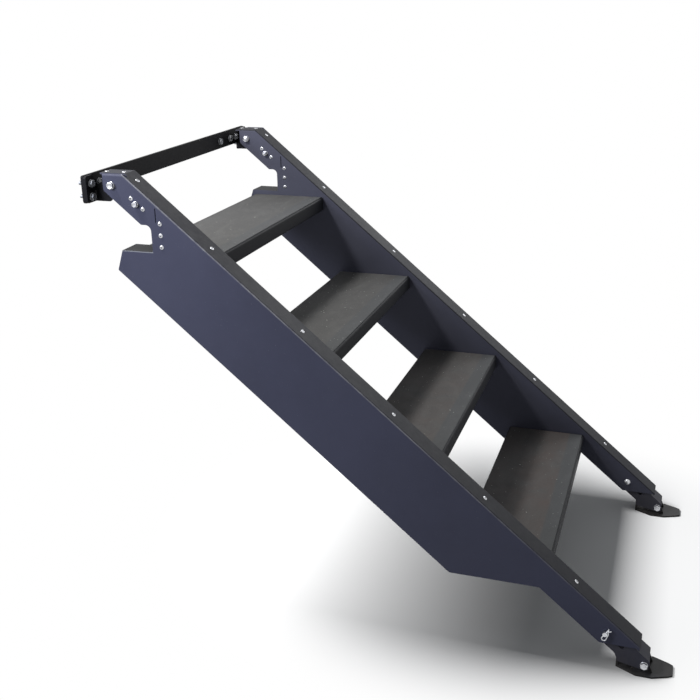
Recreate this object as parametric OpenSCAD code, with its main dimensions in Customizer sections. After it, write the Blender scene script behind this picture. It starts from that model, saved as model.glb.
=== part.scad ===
// Folding entry step for a caravan or camper door. Four fixed treads sit between two boxed
// stringers that hang from a sill plate on pivot bolts, with sliding legs and tilting feet.
// X runs across the width, +Y towards the vehicle and +Z up. The origin lies on the wall
// plane, at the centre of the four bracket bolts. Lengths are millimetres.

/* [Flight] */
// Width over both stringers
overall_w = 696; // [600:1:900]
// Height from one tread to the next
tread_rise = 190.5; // [175:0.5:205]
// Forward distance from one tread edge to the next
tread_run = 227.5; // [215:0.5:245]
// Depth of a tread from front edge to back edge
tread_depth = 187; // [150:1:200]
// Drop from the flat top of the arms to the first tread
first_drop = 162; // [150:1:180]
// Height of the lowest tread above the ground
ground_drop = 200; // [180:1:240]

/* [Stringers] */
// Thickness of the stringer sheets
sheet = 3; // [2:0.5:4]
// Width of a stringer box
stringer_t = 54; // [50:1:80]
// Depth of the deep panel, square to the slope
panel_depth = 168.5; // [160:0.5:185]
// Depth of the lower rail, square to the slope
rail_depth = 51; // [48:0.5:60]
// Depth of the upper arm, square to the slope
arm_depth = 53.5; // [50:0.5:60]
// Height of the rail's level end above the ground
rail_end_h = 58.5; // [55:0.5:75]
// Height of the panel's level bottom edge above the ground
panel_bottom_h = 159.5; // [140:0.5:180]
// Outside radius of the folded edges
bend_r = 4; // [3:0.5:5]
// Width of the return flanges along the lower edges
return_w = 20; // [12:1:24]
// Width of the panel's tongue under the channel flange
tongue_w = 30; // [20:1:32]
// Open seam between the panel edge and the channel flange
seam = 1.5; // [1:0.5:3]

/* [Arm and notch] */
// Length of the arm webs behind the top corner
arm_rear = 44; // [42:1:50]
// Length of the flat top flange behind the top corner
flange_rear = 55; // [50:1:56]
// Radius of the arm's lower rear corner
arm_corner_r = 8; // [4:1:12]
// Distance of the notch wall in front of the top corner
notch_y = 54.5; // [50:0.5:58]
// Drop of the notch's level top below the top corner
notch_drop = 97.5; // [95:0.5:100]
// Radius at the top of the notch
notch_r = 12; // [8:1:15]
// Length of the ear behind the top corner
ear_y = 14.6; // [10:0.2:20]
// Height of the ear above the first tread
ear_rise = 10; // [6:1:14]
// Distance of the ear's lower corner behind the top corner
ear_low_y = 29; // [24:1:34]
// Distance of the relief slit in front of the top corner
slit_y = 66.7; // [64:0.1:69]
// Width of the relief slit
slit_w = 2; // [1.5:0.5:3]
// Drop of the slit's lower end below the top corner
slit_drop = 92; // [80:1:95]

/* [Pivot] */
// Distance of the pivot axis from the wall plane
pivot_out = 50; // [48:0.5:60]
// Height of the pivot axis above the bolt pattern's centre
pivot_up = 9; // [4:0.5:14]
// Distance of the pivot axis behind the top corner
pivot_back = 25.5; // [24:0.5:28]
// Distance of the pivot axis below the arms' flat top
pivot_drop = 22; // [21.5:0.5:24]
// Radius of the pivot bolt
pivot_r = 4; // [3.5:0.5:5]

/* [Sill plate and brackets] */
// Thickness of the sill plate
plate_t = 5; // [4:0.5:6]
// Height of the sill plate between the brackets
plate_h = 38; // [34:1:45]
// Height of the plate behind the brackets
lug_h = 55; // [52:1:65]
// Overhang of the plate beyond each stringer
plate_over = 26.5; // [24:0.5:40]
// Thickness of the hinge brackets
bracket_t = 6; // [5:0.5:8]
// Sideways distance of the bracket bolts from the stringer's outer face
bracket_bolt_x = 10.5; // [10:0.5:14]
// Height between the two bolts of a bracket
bracket_bolt_gap = 26; // [22:1:30]
// Radius of the plate and bracket bolts
sill_bolt_r = 4; // [3:0.5:5]
// Length of bolt shank behind the wall plane
sill_bolt_l = 14; // [12:1:40]

/* [Legs and feet] */
// Thickness of the leg walls
leg_t = 3; // [2:0.5:4]
// Length of leg inside the rail
leg_inside = 250; // [220:1:320]
// Travel of the leg further out of the rail
leg_extend = 120; // [80:1:130]
// Travel of the leg further into the rail
leg_retract = 35; // [20:1:37]
// Sliding clearance of the leg in the rail
leg_gap = 0.6; // [0.4:0.1:1.5]
// Height of the foot bolt above the ground
foot_bolt_h = 21.5; // [20:0.5:26]
// Depth of the foot bolt below the slope line
foot_bolt_t = 23; // [22:0.5:25]
// Radius of the foot bolt
foot_bolt_r = 4; // [3:0.5:4.5]
// Thickness of the foot's sole and ears
foot_t = 4; // [3:0.5:4.5]
// Width of the sole
sole_w = 66; // [60:1:84]
// Length of the sole in front of the foot bolt
toe_l = 55; // [45:1:70]
// Length of the sole behind the foot bolt
heel_l = 53; // [45:1:60]

/* [Lock pins] */
// Radius of the lock pin
pin_r = 4.75; // [4:0.25:5.5]
// Distance of the lock pin above the rail's end, along the slope
pin_s = 68.5; // [50:0.5:80]
// Depth of the lock pin below the slope line
pin_t = 25.5; // [24:0.5:28]
// Radius of the hairpin wire
wire_r = 1.3; // [1:0.1:1.5]

/* [Treads] */
// Thickness of the tread sheet
tread_t = 3; // [2:0.5:4]
// Height of the front lip
lip_h = 34; // [28:1:45]
// Height of the rear lip
rear_lip_h = 22; // [15:1:30]
// Height of the end flanges
end_flange_h = 28; // [20:1:30]
// Width of the folded hem under the front lip
hem_w = 12; // [8:1:20]
// Thickness of the grip surface
grip_t = 1.2; // [0.8:0.2:2]
// Border around the grip surface
grip_border = 4; // [2:1:12]
// Depth of the front edge below the slope line
nose_t = 10; // [8:0.5:14]

/* [Hidden] */

$fn = 48;
// Overlap of a cutter past the face that it opens
cut = 1;
// Radial clearance of a pin that turns or slides in its hole
run_gap = 0.05;
// Clearance between parts that turn past each other
side_gap = 1;
// Clearance of a screw in its hole
hole_gap = 0.25;
tread_count = 4;

slope = atan(tread_rise / tread_run);
x_out = -overall_w / 2;
x_in = x_out + stringer_t;
corner = [-pivot_out - pivot_back, pivot_up + pivot_drop];
pivot = [-pivot_out, pivot_up];
fall = first_drop + (tread_count - 1) * tread_rise + ground_drop;
ground_z = corner[1] - fall;

// Finish colours
panel_c = [0.25, 0.26, 0.34];
steel_c = [0.16, 0.16, 0.17];
zinc_c = [0.75, 0.76, 0.78];
grip_c = [0.36, 0.36, 0.36];

// A point of the side view, from distances along and square to the slope line
function on_slope(s, t) = corner + [-s * cos(slope) + t * sin(slope), -s * sin(slope) - t * cos(slope)];
// A point at depth t below the slope line and drop z below the top corner
function at_drop(t, z) = corner + [(t - z * cos(slope)) / sin(slope), -z];
// A point at depth t below the slope line and distance y in front of the top corner
function at_front(t, y) = corner + [-y, -(y * sin(slope) + t) / cos(slope)];
// A point in front of and below the top corner
function from_corner(y, z) = corner + [-y, -z];

function unit(v) = v / norm(v);
function side_of(p, q) = let (u = unit(q - p)) [-u[1], u[0]];
// One corner of a path, rounded to radius r where r is above zero
function arc_at(p, q, w, r, n = 8) = r == 0 ? [q] :
    let (u = unit(p - q), v = unit(w - q), h = acos(u * v) / 2,
        c = q + unit(u + v) * r / sin(h), f = q + u * r / tan(h) - c, g = q + v * r / tan(h) - c,
        a = atan2(f[1], f[0]), turn = atan2(f[0] * g[1] - f[1] * g[0], f * g))
    [for (i = [0:n]) c + r * [cos(a + turn * i / n), sin(a + turn * i / n)]];
// A closed outline from corners written as [point, radius]
function rounded(c) = let (m = len(c))
    [for (i = [0:m - 1]) each arc_at(c[(i + m - 1) % m][0], c[i][0], c[(i + 1) % m][0], c[i][1])];
// An open path moved sideways by d, with mitred corners
function moved(p, d) = let (m = len(p))
    [for (i = [0:m - 1])
        let (a = side_of(p[max(i - 1, 0)], p[max(i, 1)]),
            b = side_of(p[min(i, m - 2)], p[min(i + 1, m - 1)]), k = unit(a + b))
        p[i] + k * d / (k * a)];
function back(p) = [for (i = [len(p) - 1:-1:0]) p[i]];
// The band between two sideways moves of an open path
function band(p, d, e) = concat(moved(p, d), back(moved(p, e)));

// Extrudes a side view of [y, z] points from x0 to x1
module across(x0, x1) {
    translate([x0, 0, 0]) rotate([90, 0, 90]) linear_extrude(height = x1 - x0) children();
}
// A rod along X from x0 to x1 at a point of the side view
module rod(p, r, x0, x1) {
    translate([x0, p[0], p[1]]) rotate([0, 90, 0]) cylinder(r = r, h = x1 - x0);
}
// A hexagon along X, r being half the distance across flats
module hex_rod(p, r, x0, x1) {
    translate([x0, p[0], p[1]]) rotate([0, 90, 0]) cylinder(r = r / cos(30), h = x1 - x0, $fn = 6);
}
// The same shapes on the right-hand side
module opposite() { mirror([1, 0, 0]) children(); }
// The waste outside a rounded edge from p to q at the face x, with the sheet on side dir
module edge_waste(p, q, x, dir) {
    d = q - p;
    bend = [for (a = [270:-15:180]) bend_r * [1 + cos(a), 1 + sin(a)]];
    tip = 2 * bend[0] - bend[1];
    tail = 2 * bend[6] - bend[5];
    translate([x, p[0], p[1]]) rotate([atan2(d[1], d[0]) - 90, 0, 0]) mirror([dir < 0 ? 1 : 0, 0, 0])
        translate([0, 0, -bend_r]) linear_extrude(height = norm(d) + 2 * bend_r)
            polygon(concat([tail, [-cut, tail[1]], [-cut, -cut], [tip[0], -cut], tip],
                [for (i = [1:5]) bend[i]]));
}

// Side view of the stringer webs, arm and notch included
ear_z = first_drop - ear_rise;
rail_end = at_drop(0, fall - rail_end_h);
rail_low = at_drop(rail_depth, fall - rail_end_h);
rail_top = at_drop(rail_depth, fall - panel_bottom_h);
panel_low = at_drop(panel_depth, fall - panel_bottom_h);
ear_low = at_front(panel_depth, -ear_low_y);
web_outline = rounded([
    [from_corner(-arm_rear, 0), 0], [corner, 0], [rail_end, 0], [rail_low, 3], [rail_top, 0],
    [panel_low, 3], [ear_low, 3], [from_corner(-ear_y, ear_z), 2], [from_corner(notch_y, ear_z), 2],
    [from_corner(notch_y, notch_drop), notch_r], [at_drop(arm_depth, notch_drop), 2],
    [at_front(arm_depth, -arm_rear), arm_corner_r]]);
top_path = [from_corner(-flange_rear, 0), corner, rail_end];
low_path = [from_corner(-ear_y, ear_z), ear_low, panel_low, rail_top, rail_low];

// Fastener places
arm_bolt_p = from_corner(25.5, 57);
arm_rivet_p = [from_corner(15.6, 46.1), from_corner(40.2, 66.6)];
seam_rivet_y = 75;
seam_rivet_z = 94;
seam_rivet_step = 23.4;
seam_rivet_p = [for (i = [0:2]) from_corner(seam_rivet_y, seam_rivet_z + i * seam_rivet_step)];
rivet_edge = 6;
flange_rivet_x = x_out + sheet + tongue_w - rivet_edge;
flat_rivet_y = [49, 10];
corner_rivet_s = 24.5;
first_rivet_s = 223;
rivet_step = 242;
rivet_rows = floor((norm(rail_end - corner) - first_rivet_s - 60) / rivet_step);
rivet_r = 2.4;
rivet_head_r = 4.5;
rivet_head_h = 1.6;
rivet_tail_r = 3.5;
rivet_tail_h = 2.5;
arm_bolt_r = 3;

lock_p = on_slope(norm(rail_end - corner) - pin_s, pin_t);
foot_p = at_drop(foot_bolt_t, fall - foot_bolt_h);

// Blind rivet that points along -Z, with its head above z = 0 and a grip of g
module rivet(g) {
    translate([0, 0, -g - rivet_tail_h]) cylinder(r = rivet_r, h = g + rivet_tail_h);
    rotate_extrude() intersection() {
        translate([0, rivet_head_h - rivet_head_r * 1.6]) circle(r = rivet_head_r * 1.6);
        square([rivet_head_r, rivet_head_h]);
    }
    translate([0, 0, -g - rivet_tail_h]) cylinder(r = rivet_tail_r, h = rivet_tail_h);
}
// Blind rivet across a web: head at face x, dir -1 for a head that points to -X
module side_rivet(p, x, dir, g) {
    translate([x, p[0], p[1]]) rotate([0, dir * 90, 0]) rivet(g);
}
module side_rivet_holes(x0, x1) {
    for (p = concat(arm_rivet_p, seam_rivet_p)) rod(p, rivet_r, x0, x1);
    rod(arm_bolt_p, arm_bolt_r + hole_gap, x0, x1);
}
// Places a child at each rivet of the flat flange, and of the sloping flange
module at_flat_rivets() {
    for (y = flat_rivet_y) translate([flange_rivet_x, corner[0] + y, corner[1]]) children();
}
module at_slope_rivets() {
    for (s = concat([corner_rivet_s], [for (i = [0:rivet_rows]) first_rivet_s + i * rivet_step])) {
        p = on_slope(s, 0);
        translate([flange_rivet_x, p[0], p[1]]) rotate([slope, 0, 0]) children();
    }
}
module flange_rivet_holes() {
    at_flat_rivets() translate([0, 0, -sheet - cut]) cylinder(r = rivet_r, h = sheet + 2 * cut);
    at_slope_rivets() translate([0, 0, -2 * sheet - cut]) cylinder(r = rivet_r, h = 2 * sheet + 2 * cut);
}
module slit(x0, x1) {
    top = at_front(2 * sheet, slit_y)[1];
    low = corner[1] - slit_drop;
    across(x0, x1) translate([corner[0] - slit_y - slit_w / 2, low]) square([slit_w, top - low]);
}

// Outer sheet: web, tongue under the channel flange, lower returns and the ear's closing flange
tongue_s = 12;
module outer_panel() {
    tongue = [on_slope(tongue_s, 0), rail_end];
    difference() {
        union() {
            across(x_out, x_out + sheet) polygon(web_outline);
            across(x_out, x_out + sheet + tongue_w) polygon(band(tongue, sheet, 2 * sheet));
            across(x_out, x_out + return_w) polygon(band(low_path, -sheet, 0));
            ear_flange();
        }
        edge_waste(rail_end, corner, x_out, 1);
        edge_waste(corner, from_corner(-flange_rear, 0), x_out, 1);
        low_edge_waste(x_out, 1);
        side_rivet_holes(x_out - cut, x_out + sheet + cut);
        rod(pivot, pivot_r + run_gap, x_out - cut, x_out + sheet + cut);
        rod(lock_p, pin_r + hole_gap, x_out - cut, x_out + sheet + cut);
        slit(x_out - cut, x_out + sheet + cut);
        flange_rivet_holes();
    }
}
module low_edge_waste(x, dir) { edge_waste(ear_low, panel_low, x, dir); }
// Flange that closes the top of the ear, stepped to clear the channel's rear return
ear_gap = 0.5;
module ear_flange() {
    y0 = corner[0] - notch_y;
    y1 = corner[0] + ear_y;
    step_x = x_in - return_w - ear_gap;
    step_y = y1 - sheet - ear_gap;
    translate([0, 0, corner[1] - ear_z - sheet]) linear_extrude(height = sheet)
        polygon([[x_out, y0], [x_in - sheet, y0], [x_in - sheet, step_y], [step_x, step_y],
            [step_x, y1], [x_out, y1]]);
}

// Inner sheet: web, top flange over the panel's tongue, and lower returns
module inner_channel() {
    flat_x = x_out + sheet + side_gap + bracket_t + side_gap;
    edge_x = x_out + sheet + seam;
    ear_way = [from_corner(-flange_rear - cut, 0), corner, on_slope(tongue_s - sheet, 0)];
    difference() {
        union() {
            across(x_in - sheet, x_in) polygon(web_outline);
            across(edge_x, x_in) polygon(band(top_path, 0, sheet));
            across(x_in - return_w, x_in) polygon(band(low_path, -sheet, 0));
        }
        across(edge_x - cut, flat_x) polygon(band(ear_way, -bend_r, sheet + cut));
        edge_waste(rail_end, corner, x_in, -1);
        edge_waste(corner, from_corner(-flange_rear, 0), x_in, -1);
        low_edge_waste(x_in, -1);
        side_rivet_holes(x_in - sheet - cut, x_in + cut);
        rod(pivot, pivot_r + run_gap, x_in - sheet - cut, x_in + cut);
        rod(lock_p, pin_r + hole_gap, x_in - sheet - cut, x_in + cut);
        slit(x_in - sheet - cut, x_in + cut);
        flange_rivet_holes();
    }
}
module outer_panel_left() { color(panel_c) outer_panel(); }
module outer_panel_right() { color(panel_c) opposite() outer_panel(); }
module inner_channel_left() { color(panel_c) inner_channel(); }
module inner_channel_right() { color(panel_c) opposite() inner_channel(); }

// Folded doubler inside the arm: two cheeks and a cross wall along the arm's lower edge
doubler_t = 4;
doubler_top_t = 2 * sheet + rivet_tail_h + 1.5;
doubler_low_t = arm_depth - 6;
doubler_front = slit_y + 24;
doubler_drop = seam_rivet_z + 2 * seam_rivet_step + 16;
doubler_notch = notch_y + 8;
doubler_edge = notch_drop - 6;
doubler_outline = rounded([
    [on_slope(14, doubler_top_t), 4], [at_front(doubler_top_t, doubler_front), 4],
    [from_corner(doubler_front, doubler_drop), 4], [from_corner(doubler_notch, doubler_drop), 4],
    [from_corner(doubler_notch, doubler_edge), notch_r], [at_drop(doubler_low_t, doubler_edge), 3],
    [at_front(doubler_low_t, 2), 4]]);
module arm_doubler() {
    x0 = x_out + sheet;
    x1 = x_in - sheet;
    difference() {
        union() {
            across(x0, x0 + doubler_t) polygon(doubler_outline);
            across(x1 - doubler_t, x1) polygon(doubler_outline);
            across(x0 + doubler_t / 2, x1 - doubler_t / 2) polygon(band(
                [at_front(doubler_low_t - 1, 6), at_front(doubler_low_t - 1, 31)], -doubler_t, 0));
        }
        side_rivet_holes(x0 - cut, x1 + cut);
    }
}
module arm_doubler_left() { color(steel_c) arm_doubler(); }
module arm_doubler_right() { color(steel_c) opposite() arm_doubler(); }

// Middle arm bolt with its washer, through both webs and the doubler
bolt_head_h = 5.3;
washer_h = 1.6;
nut_h = 6.5;
arm_head_r = 5;
washer_rim = 1;
module arm_bolt() {
    rod(arm_bolt_p, arm_bolt_r, x_out, x_in + washer_h + nut_h + 2);
    rod(arm_bolt_p, arm_head_r + washer_rim, x_out - washer_h, x_out);
    hex_rod(arm_bolt_p, arm_head_r, x_out - washer_h - bolt_head_h, x_out - washer_h);
}
// A nut and its washer on the face x, around a bolt of radius r
module side_nut(p, x, r, flat_r) {
    difference() {
        union() {
            rod(p, flat_r + washer_rim, x, x + washer_h);
            hex_rod(p, flat_r, x + washer_h, x + washer_h + nut_h);
        }
        rod(p, r + run_gap, x - cut, x + washer_h + nut_h + cut);
    }
}
module arm_bolt_left() { color(zinc_c) arm_bolt(); }
module arm_bolt_right() { color(zinc_c) opposite() arm_bolt(); }
module arm_nut_left() { color(zinc_c) side_nut(arm_bolt_p, x_in, arm_bolt_r, arm_head_r); }
module arm_nut_right() { color(zinc_c) opposite() side_nut(arm_bolt_p, x_in, arm_bolt_r, arm_head_r); }

// Blind rivets of the arm, on the outer and the inner face
module arm_rivets() {
    for (p = concat(arm_rivet_p, seam_rivet_p)) {
        side_rivet(p, x_out, -1, sheet + doubler_t);
        side_rivet(p, x_in, 1, sheet + doubler_t);
    }
}
module arm_rivets_left() { color(zinc_c) arm_rivets(); }
module arm_rivets_right() { color(zinc_c) opposite() arm_rivets(); }

// Rivets of the flat flange, and those that hold the sloping flange on the panel's tongue
module flange_rivets() {
    at_flat_rivets() rivet(sheet);
    at_slope_rivets() rivet(2 * sheet);
}
module flange_rivets_left() { color(zinc_c) flange_rivets(); }
module flange_rivets_right() { color(zinc_c) opposite() flange_rivets(); }

// Pivot hardware: bolt, nut, bush in the bracket ear, and spacer between the ear and inner web
pivot_head_r = 6.5;
bush_r = pivot_r + 2.5;
bush_proud = 0.4;
spacer_r = pivot_r + 3;
ear_x0 = x_out + sheet + side_gap;
ear_x1 = ear_x0 + bracket_t;
module pivot_bolt() {
    rod(pivot, pivot_r, x_out, x_in + washer_h + nut_h + 3);
    rod(pivot, pivot_head_r + washer_rim, x_out - washer_h, x_out);
    hex_rod(pivot, pivot_head_r, x_out - washer_h - bolt_head_h, x_out - washer_h);
}
module tube(p, r, bore, x0, x1) {
    difference() {
        rod(p, r, x0, x1);
        rod(p, bore, x0 - cut, x1 + cut);
    }
}
module pivot_bush() { tube(pivot, bush_r, pivot_r + run_gap, ear_x0 - bush_proud, ear_x1 + bush_proud); }
module pivot_spacer() { tube(pivot, spacer_r, pivot_r + run_gap, ear_x1 + side_gap, x_in - sheet); }
module pivot_bolt_left() { color(zinc_c) pivot_bolt(); }
module pivot_bolt_right() { color(zinc_c) opposite() pivot_bolt(); }
module pivot_nut_left() { color(zinc_c) side_nut(pivot, x_in, pivot_r, pivot_head_r); }
module pivot_nut_right() { color(zinc_c) opposite() side_nut(pivot, x_in, pivot_r, pivot_head_r); }
module pivot_bush_left() { color([0.6, 0.5, 0.3]) pivot_bush(); }
module pivot_bush_right() { color([0.6, 0.5, 0.3]) opposite() pivot_bush(); }
module pivot_spacer_left() { color(zinc_c) pivot_spacer(); }
module pivot_spacer_right() { color(zinc_c) opposite() pivot_spacer(); }

// Sill plate: a strip, deeper at its ends behind the brackets
plate_top = corner[1] - 1;
plate_x = overall_w / 2 + plate_over;
lug_x = overall_w / 2 - 10;
bolt_z = bracket_bolt_gap / 2;
bracket_bolt_p = overall_w / 2 + bracket_bolt_x;
thread_gap = 0.25;
plate_bolt_in = [27.5, 59, 116.5];
plate_bolt_z = 9.5;
// A rod along Y at x and z
module y_rod(x, z, r, y0, y1) {
    translate([x, y1, z]) rotate([90, 0, 0]) cylinder(r = r, h = y1 - y0);
}
// Places of the plate bolts and the bracket bolts, as [x, z]
plate_bolt_p = [for (sx = [-1, 1], d = plate_bolt_in) [sx * (overall_w / 2 - d), plate_bolt_z]];
bracket_bolt_pts = [for (sx = [-1, 1], sz = [-1, 1]) [sx * bracket_bolt_p, sz * bolt_z]];
module mounting_plate() {
    half = [[[plate_x, plate_top], 4], [[plate_x, plate_top - lug_h], 6],
        [[lug_x, plate_top - lug_h], 4], [[lug_x, plate_top - plate_h], 4]];
    other = [for (i = [len(half) - 1:-1:0]) [[-half[i][0][0], half[i][0][1]], half[i][1]]];
    color(steel_c) difference() {
        rotate([90, 0, 0]) linear_extrude(height = plate_t) polygon(rounded(concat(half, other)));
        for (p = concat(plate_bolt_p, bracket_bolt_pts))
            y_rod(p[0], p[1], sill_bolt_r + hole_gap, -plate_t - cut, cut);
    }
}
// Hex bolt with washer that points to +Y, its washer on the face y and its thread behind the wall
module y_bolt(x, z, y) {
    y_rod(x, z, sill_bolt_r, y, 0);
    y_rod(x, z, sill_bolt_r - thread_gap, 0, sill_bolt_l);
    y_rod(x, z, sill_bolt_r + 4, y - washer_h, y);
    translate([x, y - washer_h, z]) rotate([90, 0, 0])
        cylinder(r = (sill_bolt_r + 2.5) / cos(30), h = bolt_head_h, $fn = 6);
}
module plate_bolts() { color(zinc_c) for (p = plate_bolt_p) y_bolt(p[0], p[1], -plate_t); }
module bracket_bolts() {
    color(zinc_c) for (p = bracket_bolt_pts) y_bolt(p[0], p[1], -plate_t - bracket_t);
}

// Hinge bracket: a foot on the sill plate and one ear that carries the pivot bush
bracket_top = plate_top - 1;
bracket_low = plate_top - lug_h + 1;
ear_nose_r = 18;
ear_top_drop = 8;
ear_low_front = 8;
// Point where a line from p touches a circle, on the side given by sgn
function touch(c, r, p, sgn) = let (v = p - c, a = atan2(v[1], v[0]) + sgn * acos(r / norm(v)))
    c + r * [cos(a), sin(a)];
module hinge_bracket() {
    high = [-plate_t, pivot[1] - ear_top_drop];
    low = [pivot[0] + ear_low_front, bracket_low];
    difference() {
        union() {
            across(ear_x0, ear_x1) {
                translate(pivot) circle(r = ear_nose_r);
                polygon([pivot, touch(pivot, ear_nose_r - 0.5, high, 1), high, [-plate_t, bracket_low],
                    low, touch(pivot, ear_nose_r - 0.5, low, -1)]);
            }
            translate([0, -plate_t, 0]) rotate([90, 0, 0]) linear_extrude(height = bracket_t)
                polygon(rounded([[[-plate_x, bracket_low], 5], [[ear_x1, bracket_low], 0],
                    [[ear_x1, high[1]], 0], [[x_out - 1, bracket_top], 3], [[-plate_x, bracket_top], 5]]));
        }
        rod(pivot, bush_r, ear_x0 - cut, ear_x1 + cut);
        for (p = bracket_bolt_pts)
            y_rod(p[0], p[1], sill_bolt_r + hole_gap, -plate_t - bracket_t - cut, cut);
    }
}
module hinge_bracket_left() { color(steel_c) hinge_bracket(); }
module hinge_bracket_right() { color(steel_c) opposite() hinge_bracket(); }

// Tread pan: top with folded front lip and hem, rear lip, and end flanges on the inner webs
module tread(i) {
    front = at_drop(nose_t, first_drop + i * tread_rise);
    y0 = front[0];
    y1 = y0 + tread_depth;
    z = front[1] - grip_t;
    r = tread_t + 1.5;
    t = tread_t;
    color(steel_c) {
        across(x_in, -x_in) polygon(rounded([
            [[y0 + hem_w, z - lip_h], 0], [[y0, z - lip_h], r], [[y0, z], r], [[y1, z], r],
            [[y1, z - rear_lip_h], 0], [[y1 - t, z - rear_lip_h], 0], [[y1 - t, z - t], r - t],
            [[y0 + t, z - t], r - t], [[y0 + t, z - lip_h + t], r - t], [[y0 + hem_w, z - lip_h + t], 0]]));
        for (x = [x_in, -x_in - t]) across(x, x + t) polygon(rounded([
            [[y0 + hem_w + t, z - t / 2], 0], [[y1 - 3 * t, z - t / 2], 0],
            [[y1 - 3 * t, z - t - end_flange_h], 5], [[y0 + hem_w + t, z - t - end_flange_h], 5]]));
    }
}
module tread_grip(i) {
    front = at_drop(nose_t, first_drop + i * tread_rise);
    x = -x_in - grip_border;
    y0 = front[0] + grip_border;
    y1 = front[0] + tread_depth - grip_border;
    color(grip_c) translate([0, 0, front[1] - grip_t]) linear_extrude(height = grip_t)
        polygon(rounded([[[-x, y0], 3], [[x, y0], 3], [[x, y1], 3], [[-x, y1], 3]]));
}
module tread_1() { tread(0); }
module tread_2() { tread(1); }
module tread_3() { tread(2); }
module tread_4() { tread(3); }
module tread_grip_1() { tread_grip(0); }
module tread_grip_2() { tread_grip(1); }
module tread_grip_3() { tread_grip(2); }
module tread_grip_4() { tread_grip(3); }

// Lock pin with a domed head inside and a cross hole for the hairpin outside
pin_head_r = 7.5;
pin_head_h = 4;
pin_tail = 8;
clip_x = x_out - 5;
clip_angle = 121;
module at_clip() {
    translate([clip_x, lock_p[0], lock_p[1]]) rotate([90, 0, 90]) rotate([0, 0, clip_angle]) children();
}
module lock_pin() {
    difference() {
        union() {
            rod(lock_p, pin_r, x_out - pin_tail, x_in);
            translate([x_in, lock_p[0], lock_p[1]]) rotate([0, 90, 0]) rotate_extrude() intersection() {
                translate([0, pin_head_h - pin_head_r * 1.2]) circle(r = pin_head_r * 1.2);
                square([pin_head_r, pin_head_h]);
            }
        }
        at_clip() rotate([0, 90, 0])
            cylinder(r = wire_r + run_gap, h = 4 * pin_r, center = true);
    }
}
module lock_pin_left() { color(zinc_c) lock_pin(); }
module lock_pin_right() { color(zinc_c) opposite() lock_pin(); }

// Spring hairpin: a straight leg through the pin, an eye, and a leg that hugs the pin and flares
eye_r = 4.2;
eye_u = -10;
leg_u = 14;
hug_r = pin_r + wire_r + 0.1;
hug_a = 42;
dip_r = 3;
flare_a = 45;
flare_l = 4;
link_l = 1;
// The bends are a little thicker than the straights, which end just inside them
bend_wire_r = wire_r * 1.05;
end_lap = 0.2;
// Straight wire from a point [u, v] along angle a for length l
module wire(p, a, l) {
    translate([p[0], p[1], 0]) rotate([0, 0, a]) rotate([0, 90, 0]) translate([0, 0, -end_lap])
        cylinder(r = wire_r, h = l + 2 * end_lap);
}
// Wire bent to radius r about c, from angle a through turn
module wire_arc(c, r, a, turn) {
    translate([c[0], c[1], 0]) rotate([0, 0, a]) rotate_extrude(angle = turn)
        translate([r, 0]) circle(r = bend_wire_r);
}
module hairpin() {
    eye = [eye_u, eye_r];
    down = asin((hug_r - eye_r) / norm(eye)) - atan2(eye_r, -eye_u);
    side = [-sin(down), cos(down)];
    eye_end = eye + eye_r * side;
    hug_start = hug_r * side;
    hug_end = hug_r * [cos(hug_a), sin(hug_a)];
    dip = hug_end * (1 + dip_r / hug_r) + link_l * [sin(hug_a), -cos(hug_a)];
    flare = dip + dip_r * [sin(flare_a), -cos(flare_a)];
    at_clip() {
        wire([eye_u, 0], 0, leg_u - eye_u);
        wire_arc(eye, eye_r, down + 90, 180 - down);
        wire(eye_end, down, norm(hug_start - eye_end));
        wire_arc([0, 0], hug_r, hug_a, down + 90 - hug_a);
        wire(hug_end, hug_a - 90, link_l);
        wire_arc(dip, dip_r, 180 + hug_a, 90 - hug_a + flare_a);
        wire(flare, flare_a, flare_l);
    }
}
module hairpin_left() { color(zinc_c) hairpin(); }
module hairpin_right() { color(zinc_c) translate([-2 * clip_x, 0, 0]) hairpin(); }

// Sliding leg: an inverted channel inside the rail, slotted for the lock pin
leg_x0 = x_out + sheet + leg_gap;
leg_x1 = x_in - sheet - leg_gap;
leg_top_t = 2 * sheet + rivet_tail_h + 1;
leg_low_t = rail_depth - sheet - 1;
leg_s = norm(rail_end - corner) - leg_inside;
leg_nose = 10;
leg_sole_gap = 4.5;
slot_over = 9;
// Side view of a leg wall whose heel corner has radius r
function leg_outline(r) = let (fy = corner[0] - foot_p[0], bottom = foot_bolt_h - foot_t - leg_sole_gap)
    rounded([
        [on_slope(leg_s, leg_top_t), 2], [at_front(leg_top_t, fy + leg_nose), 3],
        [foot_p - [leg_nose, bottom - 4], 4], [foot_p - [2, bottom], 5],
        [foot_p + [heel_l, -1], 3], [at_front(leg_low_t, fy - heel_l), r], [on_slope(leg_s, leg_low_t), 2]]);
module leg() {
    slot_a = on_slope(norm(rail_end - corner) - pin_s - leg_extend - side_gap, pin_t);
    slot_b = on_slope(norm(rail_end - corner) - pin_s + leg_retract + slot_over, pin_t);
    top = [on_slope(leg_s, leg_top_t), at_front(leg_top_t, corner[0] - foot_p[0] + leg_nose)];
    slot_r = pin_r + hole_gap;
    difference() {
        union() {
            across(leg_x0, leg_x0 + leg_t) polygon(leg_outline(22));
            across(leg_x1 - leg_t, leg_x1) polygon(leg_outline(5));
            across(leg_x0, leg_x1) intersection() {
                polygon(band(top, 0, leg_t));
                polygon(leg_outline(5));
            }
        }
        rod(slot_a, slot_r, leg_x0 - cut, leg_x1 + cut);
        rod(slot_b, slot_r, leg_x0 - cut, leg_x1 + cut);
        across(leg_x0 - cut, leg_x1 + cut) polygon(band([slot_a, slot_b], -slot_r, slot_r));
        rod(foot_p, foot_bolt_r + run_gap, leg_x0 - cut, leg_x1 + cut);
    }
}
module leg_left() { color(panel_c) leg(); }
module leg_right() { color(panel_c) opposite() leg(); }

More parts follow.
